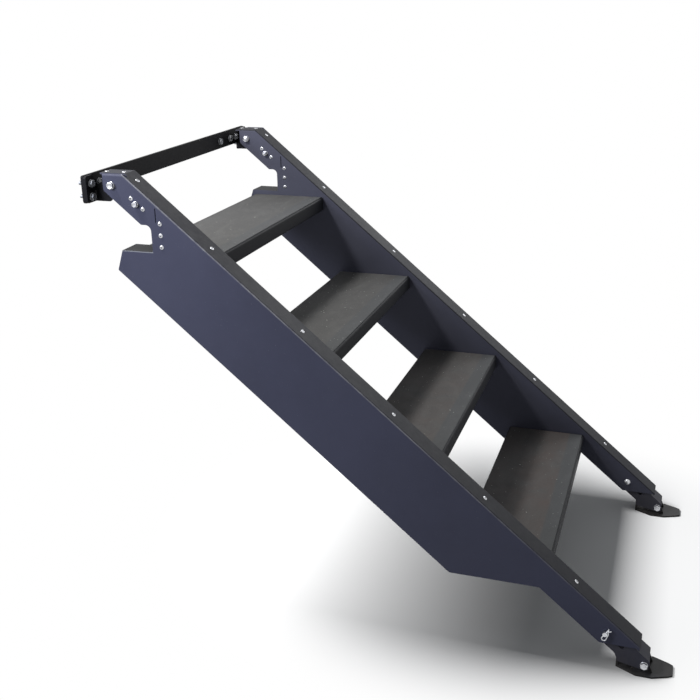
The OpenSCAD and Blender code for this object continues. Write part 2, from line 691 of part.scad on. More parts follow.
// Foot bolt with its washer and nut on the leg walls
foot_head_r = 6.5;
module foot_bolt() {
    rod(foot_p, foot_bolt_r, leg_x0, leg_x1 + washer_h + nut_h + 1.5);
    rod(foot_p, foot_head_r + washer_rim, leg_x0 - washer_h, leg_x0);
    hex_rod(foot_p, foot_head_r, leg_x0 - washer_h - bolt_head_h, leg_x0 - washer_h);
}
module foot_bolt_left() { color(zinc_c) foot_bolt(); }
module foot_bolt_right() { color(zinc_c) opposite() foot_bolt(); }
module foot_nut_left() { color(zinc_c) side_nut(foot_p, leg_x1, foot_bolt_r, foot_head_r); }
module foot_nut_right() { color(zinc_c) opposite() side_nut(foot_p, leg_x1, foot_bolt_r, foot_head_r); }

// Foot: a pointed sole with an upturned heel, and two ears between the leg walls
heel_w = 28;
heel_h = 16;
toe_w = 36;
ear_ring_r = 9.5;
module foot() {
    xc = (leg_x0 + leg_x1) / 2;
    h = sole_w / 2;
    base = -foot_bolt_h + foot_t;
    difference() {
        union() {
            translate([xc, foot_p[0], ground_z]) linear_extrude(height = foot_t) polygon(rounded([
                [[-heel_w / 2, heel_l], 2], [[-h, heel_l * 0.28], 6], [[-h, -toe_l * 0.3], 6],
                [[-toe_w / 2 - 3, 9 - toe_l], 3], [[3 - toe_w / 2, -toe_l], 3],
                [[toe_w / 2 - 3, -toe_l], 3], [[toe_w / 2 + 3, 9 - toe_l], 3], [[h, -toe_l * 0.3], 6],
                [[h, heel_l * 0.28], 6], [[heel_w / 2, heel_l], 2]]));
            translate([xc - heel_w / 2, foot_p[0] + heel_l - foot_t, ground_z])
                cube([heel_w, foot_t, heel_h]);
            for (x = [leg_x0 + leg_t + side_gap, leg_x1 - leg_t - side_gap - foot_t])
                across(x, x + foot_t) {
                    translate(foot_p) circle(r = ear_ring_r);
                    translate(foot_p) polygon([[-16, base - foot_t / 2], [24, base - foot_t / 2],
                        [24, base + 1], touch([0, 0], ear_ring_r - 0.5, [24, base + 1], 1), [0, 0],
                        touch([0, 0], ear_ring_r - 0.5, [-16, base + 1], -1), [-16, base + 1]]);
                }
        }
        rod(foot_p, foot_bolt_r + run_gap, leg_x0, leg_x1);
    }
}
module foot_left() { color(steel_c) foot(); }
module foot_right() { color(steel_c) opposite() foot(); }

mounting_plate();
hinge_bracket_left();
hinge_bracket_right();
bracket_bolts();
plate_bolts();
pivot_bush_left();
pivot_bush_right();
pivot_bolt_left();
pivot_bolt_right();
pivot_nut_left();
pivot_nut_right();
pivot_spacer_left();
pivot_spacer_right();
outer_panel_left();
outer_panel_right();
inner_channel_left();
inner_channel_right();
arm_doubler_left();
arm_doubler_right();
arm_bolt_left();
arm_bolt_right();
arm_nut_left();
arm_nut_right();
arm_rivets_left();
arm_rivets_right();
flange_rivets_left();
flange_rivets_right();
tread_1();
tread_2();
tread_3();
tread_4();
tread_grip_1();
tread_grip_2();
tread_grip_3();
tread_grip_4();
lock_pin_left();
lock_pin_right();
hairpin_left();
hairpin_right();
leg_left();
leg_right();
foot_bolt_left();
foot_bolt_right();
foot_nut_left();
foot_nut_right();
foot_left();
foot_right();
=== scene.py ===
"""Looks of the folding entry step: materials, fastener detail, welds, studio and camera."""
import math
import random

import bmesh
import bpy
from mathutils import Matrix, Vector


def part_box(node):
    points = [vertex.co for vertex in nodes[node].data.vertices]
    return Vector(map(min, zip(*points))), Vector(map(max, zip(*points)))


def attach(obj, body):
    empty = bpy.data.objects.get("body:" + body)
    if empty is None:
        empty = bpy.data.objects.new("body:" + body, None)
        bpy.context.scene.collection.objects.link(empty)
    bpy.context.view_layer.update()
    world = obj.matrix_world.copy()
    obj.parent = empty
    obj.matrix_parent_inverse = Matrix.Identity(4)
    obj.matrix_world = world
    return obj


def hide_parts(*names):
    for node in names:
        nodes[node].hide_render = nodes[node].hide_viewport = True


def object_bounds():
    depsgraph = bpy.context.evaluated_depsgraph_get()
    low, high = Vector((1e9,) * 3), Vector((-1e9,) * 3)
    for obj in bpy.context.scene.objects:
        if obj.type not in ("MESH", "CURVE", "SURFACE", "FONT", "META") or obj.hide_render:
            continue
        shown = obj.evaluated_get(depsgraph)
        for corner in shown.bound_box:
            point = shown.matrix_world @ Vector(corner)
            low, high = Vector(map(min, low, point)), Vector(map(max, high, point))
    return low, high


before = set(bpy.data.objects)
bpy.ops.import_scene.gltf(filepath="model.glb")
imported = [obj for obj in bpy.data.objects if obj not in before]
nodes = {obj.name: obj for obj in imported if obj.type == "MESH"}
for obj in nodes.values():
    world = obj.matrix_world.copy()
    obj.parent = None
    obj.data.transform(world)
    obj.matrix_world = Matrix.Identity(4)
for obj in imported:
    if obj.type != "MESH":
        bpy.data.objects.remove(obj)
cad_low, cad_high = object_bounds()

# Sizes repeated from the part's source, in metres
MM = 0.001
RISE, RUN, TREADS = 190.5 * MM, 227.5 * MM, 4
SLOPE = math.atan(RISE / RUN)
CORNER = Vector((0.0, -75.5, 31.0)) * MM  # where the sloping rail meets the level arm
HALF_W, BOX_W = 348 * MM, 54 * MM  # half the width of the flight, and the width of a stringer
SHEET, LEG_GAP, SIDE_GAP = 3 * MM, 0.6 * MM, 1 * MM
LEG_INSET = SHEET + LEG_GAP  # from a stringer's outer or inner face to the leg's
PLATE_T, BRACKET_T = 5 * MM, 6 * MM
NOTCH_Y = CORNER.y - 54.5 * MM  # wall of the notch
EAR_Z = CORNER.z - 152 * MM  # level top of the ear, at the foot of the notch
GROUND = cad_low.z

ACROSS, UP, TO_FRONT = (1.0, 0.0, 0.0), (0.0, 0.0, 1.0), (0.0, -1.0, 0.0)
WHITE = (1.0, 1.0, 1.0)
BOTH_SIDES = (("left", -1), ("right", 1))


# Materials
def new_node(tree, kind, **values):
    """Adds a node of a kind to a tree and sets its properties."""
    node = tree.nodes.new(kind)
    for key, value in values.items():
        setattr(node, key, value)
    return node


class Graph:
    """A small helper that adds and links shader nodes of one material."""

    def __init__(self, name):
        self.mat = bpy.data.materials.new(name)
        self.mat.use_nodes = True
        self.tree = self.mat.node_tree
        self.tree.nodes.clear()
        self.out = self.add("ShaderNodeOutputMaterial")
        self.bsdf = self.add("ShaderNodeBsdfPrincipled")
        self.link(self.bsdf.outputs["BSDF"], self.out.inputs["Surface"])
        place = self.add("ShaderNodeTexCoord")
        self.coord, self.normal = place.outputs["Object"], place.outputs["Normal"]

    def add(self, kind, **values):
        return new_node(self.tree, kind, **values)

    def link(self, a, b):
        self.tree.links.new(a, b)

    def mapped(self, source, **values):
        """Coordinates through a Mapping node, with the inputs of the given names set."""
        m = self.add("ShaderNodeMapping")
        for key, value in values.items():
            m.inputs[key].default_value = value
        self.link(source, m.inputs["Vector"])
        return m.outputs["Vector"]

    def scaled(self, scale, turn=0.0):
        """Object coordinates turned about X, then times a scale of one number or three."""
        source = self.mapped(self.coord, Rotation=(turn, 0.0, 0.0)) if turn else self.coord
        return self.mapped(source, Scale=scale if hasattr(scale, "__len__") else (scale,) * 3)

    def noise(self, scale, detail=3.0, rough=0.55, distortion=0.0, turn=0.0):
        n = self.add("ShaderNodeTexNoise")
        n.inputs["Scale"].default_value = 1.0
        n.inputs["Detail"].default_value = detail
        n.inputs["Roughness"].default_value = rough
        n.inputs["Distortion"].default_value = distortion
        self.link(self.scaled(scale, turn), n.inputs["Vector"])
        return n.outputs["Fac"]

    def cells(self, scale):
        n = self.add("ShaderNodeTexVoronoi")
        n.inputs["Scale"].default_value = 1.0
        self.link(self.scaled(scale), n.inputs["Vector"])
        return n.outputs["Distance"]

    def ramp(self, source, stops):
        """Maps a value through (position, value or colour) stops."""
        r = self.add("ShaderNodeValToRGB")
        el = r.color_ramp.elements
        while len(el) < len(stops):
            el.new(0.5)
        for e, (pos, col) in zip(el, stops):
            e.position = pos
            e.color = (*((col,) * 3 if not hasattr(col, "__len__") else col), 1.0)
        self.link(source, r.inputs["Fac"])
        return r.outputs["Color"]

    def math(self, op, a, b=0.0):
        n = self.add("ShaderNodeMath", operation=op)
        for i, v in enumerate((a, b)):
            if isinstance(v, (int, float)):
                n.inputs[i].default_value = v
            else:
                self.link(v, n.inputs[i])
        return n.outputs[0]

    def product(self, first, *others):
        for value in others:
            first = self.math("MULTIPLY", first, value)
        return first

    def mix(self, fac, a, b):
        n = self.add("ShaderNodeMix", data_type="RGBA")
        for socket, v in zip([s for s in n.inputs if s.enabled], (fac, a, b)):
            if isinstance(v, (int, float)):
                socket.default_value = v
            elif isinstance(v, tuple):
                socket.default_value = (*v, 1.0)
            else:
                self.link(v, socket)
        return [s for s in n.outputs if s.enabled][0]

    def part(self, axis):
        """One of the object coordinates X, Y and Z, in metres."""
        parts = self.add("ShaderNodeSeparateXYZ")
        self.link(self.coord, parts.inputs[0])
        return parts.outputs[axis]

    def depth(self):
        """Depth below the slope line that runs down from the top corner, in metres."""
        s, c = math.sin(SLOPE), math.cos(SLOPE)
        both = self.math("ADD", self.product(self.part("Y"), s), self.product(self.part("Z"), -c))
        return self.math("ADD", both, CORNER.z * c - CORNER.y * s)

    def facing(self, axis):
        """One where a face looks along or against an axis of the object, else zero."""
        n = self.add("ShaderNodeVectorMath", operation="DOT_PRODUCT")
        self.link(self.normal, n.inputs[0])
        n.inputs[1].default_value = axis
        return self.ramp(self.math("ABSOLUTE", n.outputs["Value"]), [(0.8, 0.0), (0.95, 1.0)])

    def fade(self, value, start, end, **kind):
        """Runs from zero to one while value goes from start to end."""
        n = self.add("ShaderNodeMapRange", **kind)
        self.link(value, n.inputs["Value"])
        n.inputs["From Min"].default_value = start
        n.inputs["From Max"].default_value = end
        return n.outputs[0]

    def above(self, value, edge, soft):
        """One above edge, fading to zero over soft below it."""
        return self.fade(value, edge - soft, edge)

    def below(self, value, edge, soft):
        """One below edge, fading to zero over soft above it."""
        return self.fade(value, edge + soft, edge)

    def band(self, value, low, high, soft):
        """One between low and high, fading to zero over soft at both ends."""
        return self.product(self.above(value, low, soft), self.below(value, high, soft))

    def bump(self, *layers):
        """Stacks bump layers given as (height socket, distance in metres, strength)."""
        normal = None
        for height, distance, strength in layers:
            b = self.add("ShaderNodeBump")
            b.inputs["Distance"].default_value = distance
            b.inputs["Strength"].default_value = strength
            self.link(height, b.inputs["Height"])
            if normal is not None:
                self.link(normal, b.inputs["Normal"])
            normal = b.outputs["Normal"]
        self.link(normal, self.bsdf.inputs["Normal"])

    def set(self, **values):
        for key, v in values.items():
            self.bsdf.inputs[key.replace("_", " ")].default_value = v

    def colour(self, source):
        self.link(source, self.bsdf.inputs["Base Color"])

    def roughness(self, source, stops):
        self.link(self.ramp(source, stops), self.bsdf.inputs["Roughness"])


# Tones, and the heights up to or from which they show, with the lengths over which they fade
SOIL, TREAD_SOIL = (0.13, 0.115, 0.095), (0.142, 0.115, 0.106)
SOIL_TOP, TREAD_SOIL_TOP, SOIL_FADE = GROUND + 0.02, GROUND + 0.25, 0.35
# The pale edges, partly wear and partly painted highlight, fade out below this height over this
# length
WORN_AND_LIT_FROM, WORN_AND_LIT_FADE = -0.45, 0.5
# Painted shadow on the back part of the lower treads: the height below which it shows, and its
# fade
REAR_SHADOW_TOP, REAR_SHADOW_FADE = GROUND + 0.45, 0.2
# Painted shade for the ear's level top, and a painted highlight for the edge beside it
SHELF_SHADE_TONE, RIM_HIGHLIGHT_TONE = (0.012, 0.012, 0.014), (0.22, 0.23, 0.25)
# The nosing tone is the coat's own; the second tone here is painted shadow
NOSING_TONE, REAR_SHADOW_TONE = (0.100, 0.108, 0.116), (0.028, 0.028, 0.030)
GRAIN_TONE = (0.5, 0.5, 0.48)
NOSING_W, REAR_SHADOW_FROM = 27 * MM, 125 * MM  # measured from a tread's front edge


def paler(colour, target, share=0.5):
    """A colour moved by a share of its way to a grey."""
    return tuple(c + (target - c) * share for c in colour)


def powder_coat(name, dark, light, rough=(0.42, 0.58), dust=0.08, gloss=0.12, worn_and_lit_edge=None,
                soil=0.0, side=None, shelf=None):
    """Powder-coated sheet: fine orange peel, cloudy tone, pale edges, dust and soil low down.

    worn_and_lit_edge is (low, high, amount), the first two as depths below the slope line. The
    pale edge is partly rubbed and partly a painted highlight, which fades out lower down. side is
    the dark and the light tone of faces that look across: painted light. shelf is the height of
    the ear's level top, painted dark as shade, with a pale rim that is a painted highlight."""
    g = Graph(name)
    g.set(Specular_IOR_Level=gloss)
    cloud = g.noise(4.0, detail=5.0, rough=0.6)
    col = g.ramp(cloud, [(0.3, dark), (0.72, light)])
    # Painted light: faces that look across get lighter, bluer tones of their own
    if side:
        across = g.ramp(cloud, [(0.3, side[0]), (0.72, side[1])])
        col = g.mix(g.facing(ACROSS), col, across)
    # Painted shade: the ear's level top is made near black; painted highlight: a pale line along
    # the edge beside it
    if shelf:
        level = g.band(g.part("Z"), shelf - 4 * MM, shelf + 1 * MM, 1 * MM)
        col = g.mix(g.product(level, g.facing(UP)), col, SHELF_SHADE_TONE)
        rim = g.band(g.part("Z"), shelf - 1.6 * MM, shelf + 1 * MM, 0.4 * MM)
        behind = g.above(g.part("Y"), NOTCH_Y, 1 * MM)
        col = g.mix(g.product(rim, behind, g.facing(ACROSS)), col, RIM_HIGHLIGHT_TONE)
    haze = g.noise((14.0, 3.0, 3.0), detail=6.0, rough=0.65, distortion=0.6)
    col = g.mix(g.ramp(haze, [(0.5, 0.0), (0.8, dust)]), col, paler(light, 0.16))
    scuff = g.noise((30.0, 5.0, 240.0), detail=5.0, rough=0.7, distortion=0.4, turn=-SLOPE)
    col = g.mix(g.ramp(scuff, [(0.66, 0.0), (0.78, 0.22)]), col, paler(light, 0.22))
    speck = g.noise(300.0, detail=2.0, rough=0.6)
    col = g.mix(g.ramp(speck, [(0.7, 0.0), (0.76, 0.3)]), col, paler(light, 0.3))
    # Pale edges: partly rubbed, partly a painted highlight, fading out lower down
    if worn_and_lit_edge:
        low, high, amount = worn_and_lit_edge
        rub_and_glint = g.ramp(g.noise(45.0, detail=4.0, rough=0.7), [(0.3, 0.35 * amount), (0.65, amount)])
        edge = g.band(g.depth(), low, high, 0.6 * MM)
        high_up = g.above(g.part("Z"), WORN_AND_LIT_FROM, WORN_AND_LIT_FADE)
        col = g.mix(g.product(edge, rub_and_glint, high_up), col, paler(light, 0.5, 0.55))
    if soil:
        low_down = g.below(g.part("Z"), SOIL_TOP, SOIL_FADE)
        patches = g.ramp(g.noise(11.0, detail=6.0, rough=0.7), [(0.35, 0.0), (0.75, soil)])
        col = g.mix(g.product(low_down, patches), col, SOIL)
    g.colour(col)
    g.roughness(cloud, [(0.25, rough[0]), (0.75, rough[1])])
    g.bump((g.noise(420.0, detail=2.0, rough=0.5), 0.12 * MM, 0.35),
           (g.noise(900.0, detail=2.0, rough=0.5), 0.04 * MM, 0.3))
    return g.mat


def grit(name, dark, light):
    """Grip surface: fine mineral grains in a dark coat, scuffed and soiled by shoes.

    The back part of each lower tread is darkened: painted shadow.
    """
    g = Graph(name)
    g.set(Specular_IOR_Level=0.12)
    grain = g.cells(900.0)
    clump = g.noise(26.0, detail=5.0, rough=0.65)
    col = g.ramp(clump, [(0.3, dark), (0.7, light)])
    col = g.mix(g.ramp(grain, [(0.08, 0.3), (0.5, 0.0)]), col, paler(light, 0.5, 0.4))
    wear = g.noise((9.0, 20.0, 20.0), detail=6.0, rough=0.7, distortion=1.2)
    col = g.mix(g.ramp(wear, [(0.45, 0.0), (0.75, 0.4)]), col, paler(light, 0.35, 0.35))
    scrape = g.noise((22.0, 90.0, 90.0), detail=4.0, rough=0.6, distortion=2.2)
    col = g.mix(g.ramp(scrape, [(0.68, 0.0), (0.74, 0.45)]), col, paler(light, 0.4, 0.45))

    # Distance behind a tread's front edge; the ten whole runs keep the sum above zero
    to_edge = 10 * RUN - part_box("tread_grip_1")[0].y
    behind_edge = g.math("MODULO", g.math("ADD", g.part("Y"), to_edge), RUN)
    nosing = g.below(behind_edge, NOSING_W, 5 * MM)
    col = g.mix(g.product(nosing, 0.45), col, NOSING_TONE)
    low_down = g.below(g.part("Z"), TREAD_SOIL_TOP, SOIL_FADE)
    patches = g.noise(11.0, detail=6.0, rough=0.7, distortion=0.8)
    patches = g.ramp(patches, [(0.32, 0.05), (0.66, 0.72)])
    trodden = g.product(low_down, g.math("SUBTRACT", 1.0, nosing), patches)
    col = g.mix(trodden, col, TREAD_SOIL)
    # Painted shadow: the back part of each lower tread, shaded by the tread above, is darkened
    shadowed_lower_treads = g.below(g.part("Z"), REAR_SHADOW_TOP, REAR_SHADOW_FADE)
    rear_shadow = g.above(behind_edge, REAR_SHADOW_FROM, 35 * MM)
    col = g.mix(g.product(shadowed_lower_treads, rear_shadow, 0.65), col, REAR_SHADOW_TONE)

    pale_grain = g.noise(210.0, detail=1.0, rough=0.5)
    col = g.mix(g.ramp(pale_grain, [(0.76, 0.0), (0.79, 1.0)]), col, GRAIN_TONE)
    g.colour(col)
    g.roughness(clump, [(0.3, 0.6), (0.7, 0.85)])
    g.bump((clump, 0.6 * MM, 0.3), (grain, 0.4 * MM, 0.45))
    return g.mat


def zinc(name, tone, rough=(0.2, 0.4)):
    """Zinc plate with faint spangle and handling marks."""
    g = Graph(name)
    g.set(Metallic=1.0)
    spangle = g.noise(700.0, detail=3.0, rough=0.6)
    stain = g.noise(120.0, detail=4.0, rough=0.6)
    g.colour(g.ramp(stain, [(0.35, tuple(c * 0.66 for c in tone)), (0.65, tone)]))
    g.roughness(spangle, [(0.3, rough[0]), (0.7, rough[1])])
    g.bump((spangle, 0.05 * MM, 0.3))
    return g.mat


def bronze(name):
    """Sintered bronze bush: open pores and a warm dull sheen."""
    g = Graph(name)
    g.set(Metallic=1.0)
    pores = g.cells(1600.0)
    g.colour(g.ramp(pores, [(0.1, (0.2, 0.13, 0.06)), (0.4, (0.5, 0.34, 0.15))]))
    g.roughness(g.noise(300.0), [(0.3, 0.35), (0.7, 0.55)])
    g.bump((pores, 0.1 * MM, 0.4))
    return g.mat


# The panel's pale edges are partly a painted highlight, and its ear top is painted shade
panel_mat = powder_coat("panel_coat", (0.052, 0.055, 0.085), (0.066, 0.070, 0.108),
                        worn_and_lit_edge=(-1.0, 1.6 * MM, 0.8), shelf=EAR_Z)
# The channel's webs, which look across, get lighter tones: painted light
channel_mat = powder_coat("channel_coat", (0.024, 0.025, 0.031), (0.033, 0.034, 0.042),
                          gloss=0.08, worn_and_lit_edge=(-1.0, 0.4 * MM, 0.12),
                          side=((0.066, 0.068, 0.094), (0.086, 0.089, 0.122)))
leg_mat = powder_coat("leg_coat", (0.044, 0.045, 0.062), (0.058, 0.060, 0.082), soil=0.3)
tread_mat = powder_coat("tread_coat", (0.014, 0.015, 0.018), (0.022, 0.023, 0.027), gloss=0.08,
                        worn_and_lit_edge=(9.6 * MM, 12.2 * MM, 0.8))
steel_mat = powder_coat("steel_coat", (0.006, 0.006, 0.007), (0.011, 0.011, 0.013), dust=0.04,
                        gloss=0.08)
foot_mat = powder_coat("foot_coat", (0.026, 0.026, 0.028), (0.040, 0.040, 0.042), dust=0.2,
                       soil=0.3)
grip_mat = grit("grip_grit", (0.095, 0.095, 0.094), (0.130, 0.130, 0.128))
zinc_mat = zinc("zinc_plate", (0.66, 0.67, 0.70))
# A darker, rougher copy of the zinc for the sill bolts; its darker tone is painted shade
dull_shaded_zinc_mat = zinc("zinc_dull_shaded", (0.30, 0.31, 0.33), rough=(0.4, 0.6))
# Near-black tone of a rivet's bore and mandrel: painted shade in its hollow
pit_shade_mat = powder_coat("rivet_pit_shade", (0.03, 0.03, 0.03), (0.07, 0.07, 0.07))
weld_mat = powder_coat("weld_coat", (0.022, 0.022, 0.024), (0.040, 0.040, 0.042),
                       rough=(0.3, 0.45))
bush_mat = bronze("bush_bronze")

# The first start that fits a node's name gives its material; the rest are zinc
MATERIAL_OF = (
    ("outer_panel", panel_mat),
    ("inner_channel", channel_mat),
    ("leg_", leg_mat),
    ("tread_grip", grip_mat),
    ("tread_", tread_mat),
    ("pivot_bush", bush_mat),
    ("mounting_plate", steel_mat),
    ("hinge_bracket", steel_mat),
    ("arm_doubler", steel_mat),
    ("foot_left", foot_mat),
    ("foot_right", foot_mat),
)
for name, obj in nodes.items():
    material = next((m for start, m in MATERIAL_OF if name.startswith(start)), zinc_mat)
    obj.data.materials.clear()
    obj.data.materials.append(material)


# Mesh helpers; a shape is drawn along its own Z and then placed
RING_POINTS, BEAD_POINTS = 48, 12
WASHER_H, HEAD_H, NUT_H = 1.6 * MM, 5.3 * MM, 6.5 * MM
PITCH, THREAD_DEPTH = 1.25 * MM, 0.35 * MM
FACE_R = 0.94  # radius of a hexagon's flat face, as a share of half the width across flats
CHAMFER = 0.55  # fall of a hexagon's chamfer for each unit outwards
EDGE = 0.3 * MM  # bevels at the tip, at the thread's end and under the head


def placed(point, axis):
    """A matrix that puts local Z along axis at point."""
    turn = Vector(UP).rotation_difference(Vector(axis)).to_matrix().to_4x4()
    return Matrix.Translation(point) @ turn


def ring(r, h):
    """A circle of points; r and h may also be functions of the angle."""
    out = []
    for i in range(RING_POINTS):
        a = 2 * math.pi * i / RING_POINTS
        rr, hh = (v(a) if callable(v) else v for v in (r, h))
        out.append((rr * math.cos(a), rr * math.sin(a), hh))
    return out


def skin(bm, rings, place, mats=None, closed=False):
    """Faces between rings, with end caps, or joined back to the first ring if closed."""
    verts = [[bm.verts.new(place @ Vector(p)) for p in points] for points in rings]
    pairs = list(zip(verts, verts[1:] + verts[:1] if closed else verts[1:]))
    for k, (a, b) in enumerate(pairs):
        for i in range(len(a)):
            j = (i + 1) % len(a)
            face = bm.faces.new((a[i], a[j], b[j], b[i]))
            face.material_index = mats[k] if mats else 0
    if not closed:
        bm.faces.new(verts[0][::-1])
        bm.faces.new(verts[-1])


def in_scene(obj):
    """Links an object to the scene and gives it back."""
    bpy.context.scene.collection.objects.link(obj)
    return obj


def finish_piece(name, bm, body, materials, stands_for=(), sharp=32.0):
    """Turns a bmesh into a piece that rides on a body, in place of the nodes it stands for."""
    bmesh.ops.recalc_face_normals(bm, faces=bm.faces)
    mesh = bpy.data.meshes.new(name)
    bm.to_mesh(mesh)
    bm.free()
    for m in materials:
        mesh.materials.append(m)
    for p in mesh.polygons:
        p.use_smooth = True
    mesh.set_sharp_from_angle(angle=math.radians(sharp))
    obj = in_scene(bpy.data.objects.new(name, mesh))
    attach(obj, body)
    if stands_for:
        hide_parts(*stands_for)


def hexagon(flat):
    """Radius of a hexagon at an angle, flat being half the distance across flats."""
    return lambda a: flat / math.cos((a % (math.pi / 3)) - math.pi / 6)


def crown(flat, level, up):
    """Height of a hexagon's chamfered edge, level being that of its flat face."""
    outline = hexagon(flat)
    return lambda a: level - up * CHAMFER * max(0.0, outline(a) - FACE_R * flat)


def washer(bm, place, r, bore):
    bevel = 0.35 * MM
    skin(bm, [ring(bore, 0), ring(r - bevel, 0), ring(r, bevel), ring(r, WASHER_H - bevel),
              ring(r - bevel, WASHER_H), ring(bore, WASHER_H)], place, closed=True)


def thread(r, h0, h1):
    """Rings of a screw thread between two heights, shallower towards both of them."""
    steps = max(2, round((h1 - h0) / (PITCH / 4)))
    rows = []
    for i in range(steps + 1):
        h = h0 + (h1 - h0) * i / steps
        cut = THREAD_DEPTH * min(1.0, 3.0 * min(i, steps - i) / steps + 0.25)
        rows.append(ring(lambda a, h=h, cut=cut:
                         r - cut * abs(((h / PITCH - a / (2 * math.pi)) % 1.0) * 2 - 1), h))
    return rows


def bolt(bm, place, r, length, flat, washer_r, thread_l):
    """Hex bolt on the face z = 0: washer and head above it, shank and thread below."""
    washer(bm, place, washer_r, r)
    top = WASHER_H + HEAD_H
    tip = [ring(0.3 * r, -length - EDGE), ring(0.85 * r, -length)]
    threaded = thread(r, -length + 0.1 * MM, -length + thread_l)
    shank = [ring(r, -length + thread_l + EDGE), ring(r, WASHER_H)]
    head = [ring(0.96 * flat, WASHER_H), ring(hexagon(flat), WASHER_H + EDGE),
            ring(hexagon(flat), crown(flat, top, 1)), ring(FACE_R * flat, top)]
    dish = [ring(0.8 * flat, top), ring(0.7 * flat, top - 0.35 * MM),
            ring(0.2 * flat, top - 0.45 * MM)]
    skin(bm, tip + threaded + shank + head + dish, place)


def nut(bm, place, bore, flat, washer_r):
    """Hex nut on its washer on the face z = 0, chamfered on both sides."""
    washer(bm, place, washer_r, bore)
    low, top = WASHER_H, WASHER_H + NUT_H
    skin(bm, [ring(bore, low), ring(FACE_R * flat, low),
              ring(hexagon(flat), crown(flat, low, -1)),
              ring(hexagon(flat), crown(flat, top, 1)), ring(FACE_R * flat, top),
              ring(bore + 0.6 * MM, top), ring(bore, top - 0.5 * MM)], place, closed=True)


def blind_rivet(bm, place, grip):
    """Blind rivet on the face z = 0: formed tail, body, domed flange and set-in mandrel."""
    tail = [(0.8, -grip - 3.1), (2.2, -grip - 3.0), (3.5, -grip - 2.0), (3.5, -grip - 0.9)]
    body = [(2.4, -grip), (2.4, 0.0)]
    dome = [(4.4, 0.0), (4.5, 0.25), (4.15, 0.8), (3.2, 1.3), (2.3, 1.55), (1.75, 1.5)]
    mandrel = [(1.6, 0.5), (1.35, 0.45), (1.25, 0.9), (0.5, 1.0)]
    profile = tail + body + dome + mandrel
    # The bore and the set-in mandrel take the second material, a painted shade
    mats = [0] * (len(profile) - len(mandrel) - 1) + [1] * len(mandrel)
    skin(bm, [ring(r * MM, h * MM) for r, h in profile], place, mats)


def bead(bm, a, b, r, rng):
    """A weld bead from a to b, with ripples and a slightly uneven line."""
    a, b = Vector(a), Vector(b)
    run = b - a
    count = max(6, int(run.length / (0.6 * MM)))
    ripples = run.length / (2.4 * MM)
    rows = []
    drift = 0.0
    for i in range(count + 1):
        t = i / count
        drift = 0.8 * drift + rng.uniform(-0.08, 0.08) * r
        swell = 1.0 + 0.14 * math.cos(2 * math.pi * t * ripples)
        end = math.sin(math.pi * min(1.0, max(0.04, min(t, 1 - t) * count / 4)) / 2)
        turns = (2 * math.pi * k / BEAD_POINTS for k in range(BEAD_POINTS))
        rr = r * swell * end
        rows.append([(rr * math.cos(q) + drift, rr * math.sin(q), t * run.length)
                     for q in turns])
    skin(bm, rows, placed(a, run))


def off_corner(y, z):
    """A point of the side view in front of and below the top corner, in millimetres."""
    return CORNER + Vector((0.0, -y, -z)) * MM


def down_slope(s):
    """A point on the slope line, s millimetres below the top corner."""
    return CORNER + Vector((0.0, -math.cos(SLOPE), -math.sin(SLOPE))) * s * MM


def at_x(x, p):
    return Vector((x, p.y, p.z))


def middle(node):
    low_c, high_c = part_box(node)
    return (Vector(low_c) + Vector(high_c)) / 2


# Fasteners of the stringers and legs, which stand for the plain ones of the frame
ARM_RIVETS = [off_corner(15.6, 46.1), off_corner(40.2, 66.6)] + [
    off_corner(75, 94 + 23.4 * i) for i in range(3)]
FLAT_RIVETS = [off_corner(-49, 0), off_corner(-10, 0)]
SLOPE_RIVETS = [down_slope(s) for s in [24.5] + [223 + 242 * i for i in range(5)]]
SLOPE_UP = Vector((0.0, -math.sin(SLOPE), math.cos(SLOPE)))
RIVET_IN = 27 * MM  # from a stringer's outer face
ARM_GRIP, FLAT_GRIP, SLOPE_GRIP = 7.0, 3.0, 6.0  # millimetres of sheet that a rivet holds
M8_R, M8_FLAT, NUT_PLAY = 4 * MM, 6.5 * MM, 0.05 * MM
THREAD_L, WASHER_RIM, SILL_WASHER_R = 14 * MM, 1 * MM, 8 * MM
# Name, inset of head and nut from the stringer's faces, radius, half the width across flats,
# length past the nut, and length of the thread
CROSS_BOLTS = (
    ("arm", 0.0, 3 * MM, 5 * MM, 2 * MM, THREAD_L),
    ("pivot", 0.0, M8_R, M8_FLAT, 3 * MM, THREAD_L),
    ("foot", LEG_INSET, M8_R, M8_FLAT, 1.5 * MM, 12 * MM),
)

